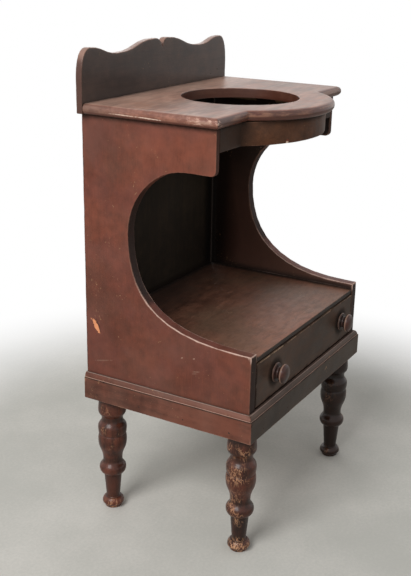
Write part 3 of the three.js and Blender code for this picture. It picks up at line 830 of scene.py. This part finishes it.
# %% Lines along a moulding
def moulding_paint(name, light, dark, along, shift):
    paint = Paint(name, light, dark, along, shift)
    paint.film(DUST, 0.1)
    # a pale band high on the profile near the front: dust and a painted highlight
    cove_dust_and_highlight = line(paint, "moulding_front", 2.5, 8.0, 0.002) * paint.step(paint.along(1), 0.2, -0.1)
    cove_dust_and_highlight = cove_dust_and_highlight * (0.5 + paint.patches(0.35, 0.65, 30, 4.0, 0.6, along, 3.0) * 0.5)
    paint.layer(cove_dust_and_highlight * 0.18, colour(160, 130, 118))
    paint.layer(below(paint, "moulding_front", 1.5, 0.5) * 0.8, colour(176, 150, 138))
    arris = line(paint, "moulding_front", 9.2, 9.8, 0.0003)
    paint.layer(arris * 0.8, colour(196, 160, 144))
    paint.rub(0.5, 2.2)
    # a dark line in the groove under the round: painted shade
    quirk_shade = line(paint, "moulding_front", 10.2, 11.4, 0.0004)
    paint.layer(quirk_shade * 0.75, SHADE_AND_SOOT)
    paint.flakes(0.5)
    paint.shade_and_dirt_in_corners(0.8)
    return paint.finish(specular=0.15)


# the front moulding's darker colours are painted shade, for it faces away from the light
moulding_side_paint = moulding_paint(
    "moulding_side", colour(114, 68, 54), colour(76, 45, 36), ALONG_Y, 3.3
)
moulding_front_paint = moulding_paint(
    "moulding_front", colour(66, 53, 45), colour(42, 33, 28), ALONG_X, 8.1
)

# %% [markdown]
# ## Bare pine
#
# Nobody painted what nobody sees: the drawer's inside, its runners and the blocks under the top.
# Plain-sawn pine shows its yearly rings as long pointed bands, pale wood between darker lines. The
# rings are cylinders round the tree's heart, so the material measures the distance to a line that
# runs along the board, bends it a little, and lets it count through the years.

# %% A finish of rings
YEARS_PER_METRE = 165
HEART_ASIDE = 0.03
HEART_BELOW = 0.21


def bare_pine(name, along, shift=0.0, tone=1.0):
    pine = Finish(name)
    bend = pine.cloud(3.2, 2.0, 0.5, along, shift)
    fine = pine.cloud(420, 3.0, 0.6, along, shift)
    blotch = pine.cloud(12, 4.0, shift=shift)
    others = [axis for axis in range(3) if along[axis] == 1.0]
    first = pine.along(others[0]) + HEART_ASIDE + bend * 0.05
    second = pine.along(others[1]) * 0.6 + HEART_BELOW + bend * 0.04
    years = (first * first + second * second) ** 0.5 * YEARS_PER_METRE
    share = pine.node("ShaderNodeMath", {"operation": "FRACT"}, {0: years})
    late = pine.step(share, 0.55, 0.95) * pine.step(share, 1.0, 0.96)
    light = colour(*[round(c * tone) for c in (176, 138, 98)])
    dark = colour(*[round(c * tone) for c in (126, 88, 56)])
    base = pine.blend(late * 0.55 + fine * 0.3, light, dark)
    base = pine.blend(pine.step(blotch, 0.4, 0.75) * 0.4, base, colour(96, 72, 52))
    # corners darkened as dirt and as painted shade
    base = pine.blend(pine.step(pine.attribute("nook"), 0.15, 0.9) * 0.6, base, SHADE_AND_SOOT)
    rough = 0.68 + (fine - 0.5) * 0.25
    return pine.done(base, rough, fine * 0.6 + late * 0.3, 0.0004, specular=0.3)


pine_x = bare_pine("pine_across", ALONG_X)
pine_y = bare_pine("pine_deep", ALONG_Y, 2.0)
base_pine = bare_pine("pine_base", ALONG_X, 5.0, 0.72)
block_pine = bare_pine("pine_blocks", ALONG_Y, 7.0, 0.5)

# %% [markdown]
# ## Dressing the boards
#
# One table says which finish each board gets and how round its edges have worn, in metres. Each
# board has a seed of its own, a step on from the last one's, so no two boards wear alike, and each
# wears the same way every time.

# %% Every board
BOARDS = {
    "side_left": (side_left_paint, 0.0013),
    "side_right": (side_right_paint, 0.0013),
    "back_board": (back_paint, 0.0003),
    "shelf": (board_shelf_paint, 0.0012),
    "front_rail": (drawer_paint, 0.0008),
    "apron": (apron_paint, 0.001),
    "top": (board_top_paint, 0.0012),
    "splash": (splash_paint, 0.0016),
    "moulding_left": (moulding_side_paint, 0.0005),
    "moulding_front": (moulding_front_paint, 0.0005),
    "moulding_right": (moulding_side_paint, 0.0005),
    "base_board": (base_pine, 0.001),
    "drawer_front": (drawer_paint, 0.0013),
    "drawer_left": (pine_y, 0.0008),
    "drawer_right": (pine_y, 0.0008),
    "drawer_back": (pine_x, 0.0006),
    "drawer_bottom": (pine_x, 0.0004),
    "runner_left": (pine_y, 0.0006),
    "runner_right": (pine_y, 0.0006),
    "stop_left": (pine_x, 0.0006),
    "stop_right": (pine_x, 0.0006),
    "rear_block_left": (block_pine, 0.0006),
    "rear_block_right": (block_pine, 0.0006),
    "front_block_left": (block_pine, 0.0006),
    "front_block_right": (block_pine, 0.0006),
    "apron_block_left": (block_pine, 0.0006),
    "apron_block_right": (block_pine, 0.0006),
}
SEED_STEP = 3.7

for number, (name, (finish, arris)) in enumerate(BOARDS.items()):
    board(name, finish, arris, seed=number * SEED_STEP)

# %% [markdown]
# ## Turned legs and knobs
#
# A turned leg is one outline spun round its axis. The solid in the frame keeps to a few flats, and
# here the same outline is worked out finely: a row of stations up the leg, joined by smooth curves.
# At a swell the outline runs along the axis, at a crease square to it, and a cone is reached in a
# straight line. Every point also gets a pride, how far it stands out among its neighbours.

# %% A smooth outline from stations
def bezier(a, b, c, d, share):
    rest = 1 - share
    return a * rest**3 + 3 * b * rest**2 * share + 3 * c * rest * share**2 + d * share**3


STRETCH_POINTS = 14
CONE_POINTS = 4
RIDGE_WINDOW = 0.011
LEAST_RIDGE = 0.002
LEAST_RADIUS = 0.0001


def turned_outline(stations):
    """Points of (height, radius, pride) up a turning, from stations of (height, radius, form)."""
    points = [(stations[0][0], stations[0][1])]
    for (low, r0, form0), (high, r1, form1) in zip(stations, stations[1:]):
        if form1 == "cone":
            inner = [i / CONE_POINTS for i in range(1, CONE_POINTS + 1)]
            points += [(low + (high - low) * s, r0 + (r1 - r0) * s) for s in inner]
            continue
        rise, growth = high - low, r1 - r0
        h0, g0 = (rise / 2, 0) if form0 == "swell" else (0, growth / 2)
        h1, g1 = (rise / 2, 0) if form1 == "swell" else (0, growth / 2)
        for i in range(1, STRETCH_POINTS + 1):
            s = i / STRETCH_POINTS
            height = bezier(low, low + h0, high - h1, high, s)
            points.append((height, bezier(r0, r0 + g0, r1 - g1, r1, s)))
    outline = []
    for height, radius in points:
        near = [r for h, r in points if abs(h - height) < RIDGE_WINDOW]
        pride = (radius - min(near)) / max(max(near) - min(near), LEAST_RIDGE)
        outline.append((height, max(radius, LEAST_RADIUS), pride))
    return outline


# %% The outline of a leg, in shares of its length and radius
LEG_LENGTH = 0.243
LEG_RADIUS = 0.0284
LEG_STATIONS = [
    (0, 0.53, "crease"),
    (0.012, 0.6, "swell"),
    (0.045, 0.76, "swell"),
    (0.09, 0.5, "crease"),
    (0.095, 0.47, "cone"),
    (0.305, 0.62, "cone"),
    (0.312, 0.66, "crease"),
    (0.362, 0.935, "swell"),
    (0.44, 0.675, "swell"),
    (0.622, 1.0, "swell"),
    (0.672, 0.92, "crease"),
    (0.73, 1.0, "swell"),
    (0.81, 0.74, "swell"),
    (0.882, 0.97, "swell"),
    (1.0, 0.9, "swell"),
]
leg_outline = turned_outline(
    [(share * LEG_LENGTH, radius * LEG_RADIUS, form) for share, radius, form in LEG_STATIONS]
)
print(f"leg outline: {len(leg_outline)} points")

# %% The outline of a knob
KNOB_TENON = 0.02
knob_outline = turned_outline([
    (-KNOB_TENON, 0.0058, "cone"),
    (0, 0.0058, "cone"),
    (0.0001, 0.0168, "cone"),
    (0.0006, 0.0174, "swell"),
    (0.003, 0.0184, "swell"),
    (0.0052, 0.0172, "swell"),
    (0.006, 0.0155, "crease"),
    (0.0066, 0.0128, "crease"),
    (0.01, 0.011, "swell"),
    (0.0135, 0.0146, "crease"),
    (0.0175, 0.0183, "swell"),
    (0.0195, 0.0176, "swell"),
    (0.0255, 0.0001, "crease"),
])
print(f"knob outline: {len(knob_outline)} points")

# %% [markdown]
# ## Spinning an outline
#
# Geometry Nodes do the spinning. The outline becomes an upright curve with a radius at every point,
# and Curve to Mesh sweeps a circle up it. A spin in bmesh would give the same surface, but in a
# tree the number of sides and the leg's place are named inputs, so one tree serves all four legs
# and both knobs, and the tree can be opened afterwards to see how it is done.

# %% Helpers for geometry trees
def new_tree(name, sizes):
    """A geometry tree with its geometry sockets and a named input for each size."""
    tree = bpy.data.node_groups.new(name, "GeometryNodeTree")
    tree.interface.new_socket("Geometry", in_out="INPUT", socket_type="NodeSocketGeometry")
    for label, kind in sizes:
        tree.interface.new_socket(label, in_out="INPUT", socket_type=kind)
    tree.interface.new_socket("Geometry", in_out="OUTPUT", socket_type="NodeSocketGeometry")
    return tree


def add(tree, kind, settings=None, **sockets):
    """Adds a node to a geometry tree: settings first, then its sockets by name."""
    made = tree.nodes.new(kind)
    for key, value in (settings or {}).items():
        setattr(made, key, value)
    for key, value in sockets.items():
        socket = made.inputs[key.replace("_", " ")]
        if isinstance(value, bpy.types.NodeSocket):
            tree.links.new(value, socket)
        else:
            socket.default_value = value
    return made


def end_tree(tree, geometry, material):
    """Makes instances real, lays the material on them and leads them out of the tree."""
    real = add(tree, "GeometryNodeRealizeInstances", Geometry=geometry)
    painted = add(tree, "GeometryNodeSetMaterial", Geometry=real.outputs[0], Material=material)
    out = add(tree, "NodeGroupOutput")
    tree.links.new(painted.outputs[0], out.inputs[0])


def settled(name, mesh, tree, sizes):
    """Runs a tree on a mesh and gives back the plain mesh that it makes."""
    carrier = bpy.data.objects.new(name, mesh)
    bpy.context.scene.collection.objects.link(carrier)
    modifier = carrier.modifiers.new(name, "NODES")
    modifier.node_group = tree
    for item in tree.interface.items_tree:
        if item.in_out == "INPUT" and item.name in sizes:
            modifier[item.identifier] = sizes[item.name]
    bpy.context.view_layer.update()
    reading = bpy.context.evaluated_depsgraph_get()
    result = bpy.data.meshes.new_from_object(carrier.evaluated_get(reading))
    bpy.data.objects.remove(carrier)
    return result


# %% A tree that turns an outline
def turning_tree():
    tree = new_tree("turning", [
        ("Sides", "NodeSocketInt"),
        ("Place", "NodeSocketVector"),
        ("Lean", "NodeSocketRotation"),
        ("Finish", "NodeSocketMaterial"),
    ])
    given = add(tree, "NodeGroupInput").outputs
    curve = add(tree, "GeometryNodeMeshToCurve", Mesh=given["Geometry"])
    radius = add(tree, "GeometryNodeInputNamedAttribute", {"data_type": "FLOAT"}, Name="radius")
    circle = add(tree, "GeometryNodeCurvePrimitiveCircle", Resolution=given["Sides"], Radius=1.0)
    swept = add(
        tree,
        "GeometryNodeCurveToMesh",
        Curve=curve.outputs[0],
        Profile_Curve=circle.outputs[0],
        Scale=radius.outputs[0],
        Fill_Caps=True,
    )
    smooth = add(tree, "GeometryNodeSetShadeSmooth", Geometry=swept.outputs[0])
    placed = add(
        tree,
        "GeometryNodeTransform",
        Geometry=smooth.outputs[0],
        Translation=given["Place"],
        Rotation=given["Lean"],
    )
    end_tree(tree, placed.outputs[0], given["Finish"])
    return tree


def outline_mesh(name, outline):
    """The outline as an upright line of points, with its radius and pride on them."""
    mesh = bpy.data.meshes.new(name)
    lines = [(i, i + 1) for i in range(len(outline) - 1)]
    mesh.from_pydata([(0, 0, height) for height, _, _ in outline], lines, [])
    for label, place in (("radius", 1), ("pride", 2)):
        values = mesh.attributes.new(label, "FLOAT", "POINT")
        values.data.foreach_set("value", [point[place] for point in outline])
    return mesh


turning = turning_tree()
print(f"turning tree: {len(turning.nodes)} nodes")

# %% [markdown]
# ## Chipped and handled paint
#
# The legs were painted darker than the case, and they have been kicked. The paint has gone first
# where the turning stands out, on the rings and the foot, so the flakes follow the pride that the
# outline wrote on every ring. The same pride paints shade into the hollows, the legs on the right
# are painted darker as the case's shadow, and the knobs' rims carry painted highlights.

# %% Paint that chips
def turned_paint(name, light, dark, shift=0.0):
    paint = Paint(name, light, dark, ALONG_Z, shift)
    paint.pride = paint.attribute("pride")
    # the hollows of a turning painted darker as shade
    hollow_shade = paint.step(paint.pride, 0.3, 0.0)
    paint.layer(hollow_shade * 0.45, SHADE_AND_SOOT)
    paint.rough = 0.42 + (paint.mottle - 0.5) * 0.3
    return paint


def chip(paint, share, start, wood):
    """Paint lost where share is above start, with a red fringe of thin paint round it."""
    thin = paint.step(share, start - 0.05, start)
    gone = paint.step(share, start, start + 0.03)
    paint.layer(thin * 0.5, colour(112, 66, 50))
    paint.layer(gone * 0.9, wood)
    paint.rough = paint.rough + gone * 0.3
    paint.height = paint.height - gone * 0.7


# %% The finish of the legs
def chipped_leg_paint():
    paint = turned_paint("chipped_legs", colour(104, 56, 41), colour(44, 24, 18))
    # legs on the right painted near black as the case's shadow, less on faces turned right, and
    # worn less
    right = paint.step(paint.along(0), -0.1, 0.1)
    lit = paint.facing(0, 1.0, -0.1, 0.7)
    shaded_unworn = right * (1 - lit * 0.8)
    paint.layer(shaded_unworn * 0.85, colour(20, 14, 11))
    flecks = paint.cloud(520, 2.0, 0.55, (1, 1, 0.22))
    web = paint.step(abs(paint.cloud(150, 3.0, 0.6, (1, 1, 0.4), 5.0) - 0.5), 0.045, 0.015)
    patches = paint.cloud(34, 3.0, 0.6, shift=2.0)
    foot = paint.step(paint.along(2), 0.034, 0.024)
    front = paint.step(paint.along(1), 0.06, -0.06)
    outside = paint.facing(0, -1.0, -0.1, 0.9) * (front * 0.09 + 0.02) + right * lit * 0.05
    wear = patches * 0.6 + paint.pride * 0.05 + foot * 0.08 + outside - shaded_unworn * 0.1
    chip(paint, flecks * 0.8 + wear, 1.0, colour(200, 154, 120))
    crazed = web * paint.step(wear, 0.38, 0.5) * (1 - shaded_unworn * 0.7)
    paint.layer(crazed * 0.6, colour(196, 146, 110))
    paint.rough = paint.rough - 0.06
    paint.shade_and_dirt_in_corners(0.7)
    return paint.finish(0.0006, coat=0.2, specular=0.2)


leg_paint = chipped_leg_paint()

# %% The finish of the knobs
def handled_knob_paint():
    paint = turned_paint("handled_knobs", colour(84, 45, 36), colour(44, 25, 20), 3.0)
    # pale rims on the discs: painted highlights, where the paint also chips more
    rim = paint.step(paint.pride, 0.955, 1.0)
    paint.layer(rim * 0.7, colour(166, 132, 114))
    flecks = paint.cloud(180, 3.0, 0.6, shift=4.0)
    chip(paint, flecks + rim * 0.1, 0.78, colour(172, 124, 94))
    paint.shade_and_dirt_in_corners(0.7)
    return paint.finish(0.0004, coat=0.3, specular=0.2)


knob_paint = handled_knob_paint()

# %% [markdown]
# ## Four legs and two knobs
#
# A leg stands upright in the middle of its node's box. A knob lies on its side against the drawer
# front, its tenon in the wood. Both places are read from the frame, so a turning lands where its
# solid is. Points that coincide are merged, and then the mesh is measured and shown as a board is.

# %% Every turning
LEG_SIDES = 72
KNOB_SIDES = 56


def turned_piece(name, outline, sides, place, rotation, finish):
    sizes = {"Sides": sides, "Place": place, "Lean": rotation, "Finish": finish}
    mesh = settled(name, outline_mesh(name + "_outline", outline), turning, sizes)
    shape = bmesh.new()
    shape.from_mesh(mesh)
    bmesh.ops.remove_doubles(shape, verts=shape.verts[:], dist=MERGE)
    bmesh.ops.recalc_face_normals(shape, faces=shape.faces[:])
    show(shape, name, finish)


def middle(name):
    low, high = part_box(name)
    return [(a + b) / 2 for a, b in zip(low, high)]


for name in nodes:
    if name.startswith("leg"):
        x, y, _ = middle(name)
        turned_piece(name, leg_outline, LEG_SIDES, (x, y, 0), (0, 0, 0), leg_paint)
    elif name.startswith("knob"):
        x, _, z = middle(name)
        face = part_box("drawer_front")[0][1]
        turned_piece(
            name, knob_outline, KNOB_SIDES, (x, face, z), (math.pi / 2, 0, 0), knob_paint
        )

# %% [markdown]
# ## Cut nails
#
# The back board, the mouldings and the splash board are nailed on. First come the places: rows
# spread evenly along each board, as a joiner spaces them by eye, and two nails of the splash board
# where the photograph shows them. With every place goes the way that the nail's head faces.

# %% Where the nails are
def spread(low, high, count):
    return [low + (high - low) * i / (count - 1) for i in range(count)]


BACK_NAIL_SIDE = -0.2235
BACK_NAIL_SHELF = 0.391
SPLASH_NAILS = ((0.2194, 0.8287), (0.1924, 0.8218))
MOULDING_NAIL_HEIGHT = 0.255

back_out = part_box("back_board")[1][1]
splash_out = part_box("splash")[0][1]
front_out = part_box("moulding_front")[0][1]
side_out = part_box("moulding_right")[1][0]
nails = [((BACK_NAIL_SIDE, back_out, z), (0, 1, 0)) for z in spread(0.32, 0.76, 5)]
nails += [((x, back_out, BACK_NAIL_SHELF), (0, 1, 0)) for x in spread(-0.17, 0.19, 5)]
nails += [((x, splash_out, z), (0, -1, 0)) for x, z in SPLASH_NAILS]
nails += [((x, front_out, MOULDING_NAIL_HEIGHT), (0, -1, 0)) for x in spread(-0.2, 0.2, 5)]
for hand in (-1, 1):
    nails += [
        ((hand * side_out, y, MOULDING_NAIL_HEIGHT), (hand, 0, 0)) for y in spread(-0.13, 0.16, 4)
    ]
print(f"{len(nails)} nails")

# %% [markdown]
# ## Driving the nails
#
# The nails are cut from iron plate, so their heads are small, a little domed and never quite alike.
# They could be copies of one head, but would look stamped. In a tree, every point of a bare mesh
# gets a head that faces its own way, turned and sized by chance, and a fixed seed keeps the same
# heads every time.

# %% A tree of nail heads
NAIL_RADIUS = 0.0019
NAIL_SEED = 11
SMALLEST_HEAD = (0.8, 0.6, 0.12)
LARGEST_HEAD = (1.1, 0.85, 0.2)


def nail_tree():
    tree = new_tree("nails", [
        ("Radius", "NodeSocketFloat"),
        ("Seed", "NodeSocketInt"),
        ("Finish", "NodeSocketMaterial"),
    ])
    given = add(tree, "NodeGroupInput").outputs
    vector = {"data_type": "FLOAT_VECTOR"}
    chance = "FunctionNodeRandomValue"
    points = add(tree, "GeometryNodeMeshToPoints", Mesh=given["Geometry"])
    way = add(tree, "GeometryNodeInputNamedAttribute", vector, Name="way")
    outwards = add(tree, "FunctionNodeAlignRotationToVector", {"axis": "Z"}, Vector=way.outputs[0])
    head = add(tree, "GeometryNodeMeshUVSphere", Segments=8, Rings=6, Radius=given["Radius"])
    size = add(tree, chance, vector, Min=SMALLEST_HEAD, Max=LARGEST_HEAD, Seed=given["Seed"])
    heads = add(
        tree,
        "GeometryNodeInstanceOnPoints",
        Points=points.outputs[0],
        Instance=head.outputs[0],
        Rotation=outwards.outputs[0],
        Scale=size.outputs[0],
    )
    spin = add(tree, chance, vector, Min=(0, 0, 0), Max=(0, 0, math.pi), Seed=given["Seed"])
    angle = add(tree, "FunctionNodeEulerToRotation", Euler=spin.outputs[0])
    spun = add(
        tree,
        "GeometryNodeRotateInstances",
        Instances=heads.outputs[0],
        Rotation=angle.outputs[0],
    )
    end_tree(tree, spun.outputs[0], given["Finish"])
    return tree


# %% Iron heads, all driven
def iron():
    metal = Finish("old_iron")
    rust = metal.step(metal.cloud(700, 3.0), 0.35, 0.65)
    base = metal.blend(rust, colour(46, 40, 38), colour(78, 50, 38))
    return metal.done(base, 0.5 + rust * 0.3, rust, 0.0001, metallic=0.6)


nail_mesh = bpy.data.meshes.new("nail_points")
nail_mesh.from_pydata([place for place, _ in nails], [], [])
ways = nail_mesh.attributes.new("way", "FLOAT_VECTOR", "POINT")
ways.data.foreach_set("vector", [float(part) for _, way in nails for part in way])
nail_sizes = {"Radius": NAIL_RADIUS, "Seed": NAIL_SEED, "Finish": iron()}
driven = settled("nails", nail_mesh, nail_tree(), nail_sizes)
driven.shade_smooth()
nail_heads = bpy.data.objects.new("nail_heads", driven)
bpy.context.scene.collection.objects.link(nail_heads)
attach(nail_heads, body_of["splash"])
print(f"nail heads: {len(driven.polygons)} faces")

# %% [markdown]
# ## Light
#
# A plain studio. The world is white where the camera or a reflection sees it, and dimmer as a
# light, because a white world as bright as it looks would fill every shadow. A large soft lamp
# stands to the left and a little behind, as the daylight fell in the photograph, and a faint one
# gives the light that a wall behind throws back. The front is left in its own shade.

# %% A studio
WORLD_STRENGTH = 0.42
WHITE = (1, 1, 1, 1)

world = bpy.data.worlds.new("studio")
bpy.context.scene.world = world
world.use_nodes = True
sky, links = world.node_tree.nodes, world.node_tree.links
dim, bright = sky["Background"], sky.new("ShaderNodeBackground")
for shade, strength in ((dim, WORLD_STRENGTH), (bright, 1.0)):
    shade.inputs["Color"].default_value = WHITE
    shade.inputs["Strength"].default_value = strength
path = sky.new("ShaderNodeLightPath")
looked_at = path.outputs["Is Camera Ray"]
for kind in ("Is Glossy Ray", "Is Transmission Ray"):
    most = sky.new("ShaderNodeMath")
    most.operation = "MAXIMUM"
    links.new(looked_at, most.inputs[0])
    links.new(path.outputs[kind], most.inputs[1])
    looked_at = most.outputs[0]
either = sky.new("ShaderNodeMixShader")
for socket, source in enumerate((looked_at, dim.outputs[0], bright.outputs[0])):
    links.new(source, either.inputs[socket])
links.new(either.outputs[0], sky["World Output"].inputs["Surface"])


def lamp(name, place, aim, size, watts):
    """A soft square lamp that faces a point."""
    data = bpy.data.lights.new(name, "AREA")
    data.size = size
    data.energy = watts
    made = bpy.data.objects.new(name, data)
    made.location = place
    made.rotation_euler = (Vector(aim) - Vector(place)).to_track_quat("-Z", "Y").to_euler()
    bpy.context.scene.collection.objects.link(made)
    print(f"{name}: {watts} W, {size} m")


lamp("window", (-4.0, 0.25, 3.5), (0, 0, 0.4), 2.4, 175)
lamp("wall_bounce", (1.6, 2.0, 1.4), (0, 0, 0.8), 1.8, 9)

# %% [markdown]
# ## The floor
#
# The floor is a plain square with a faint mottle, pale grey near the stand, where the soft shadow
# falls. Further out it melts into a white glow for the camera alone, so that no horizon cuts the
# picture. A gradient painted in a picture would do it too, but from one side only.

# %% A pale floor
FLOOR_HALF = 6.0
FADE_START = 0.55
FADE_END = 1.15

floor_mesh = bpy.data.meshes.new("floor")
corners = [(x * FLOOR_HALF, y * FLOOR_HALF, 0) for x, y in ((-1, -1), (1, -1), (1, 1), (-1, 1))]
floor_mesh.from_pydata(corners, [], [(0, 1, 2, 3)])
floor = bpy.data.objects.new("floor", floor_mesh)
bpy.context.scene.collection.objects.link(floor)

ground = Finish("pale_floor")
away = ground.node("ShaderNodeVectorMath", {"operation": "LENGTH"}, {0: ground.place}, "Value")
speckle = ground.cloud(160, 4.0, 0.7)
stain = ground.cloud(3.5, 4.0, 0.6)
mottle = ground.step(stain * 0.7 + speckle * 0.4, 0.4, 0.8)
tint = ground.blend(mottle, colour(196, 195, 188), colour(216, 213, 206))
matt = ground.node("ShaderNodeBsdfDiffuse", None, {"Color": tint})
glow = ground.node("ShaderNodeEmission", None, {"Color": WHITE, "Strength": 1.0})
seen = ground.node("ShaderNodeLightPath", output="Is Camera Ray")
edge = ground.step(away, FADE_START, FADE_END) * seen
mixed = ground.node("ShaderNodeMixShader", None, {0: edge, 1: matt, 2: glow})
out = ground.tree.nodes.new("ShaderNodeOutputMaterial")
ground.tree.links.new(mixed.socket, out.inputs["Surface"])
floor_mesh.materials.append(ground.material)
print("floor", FLOOR_HALF * 2, "m wide")
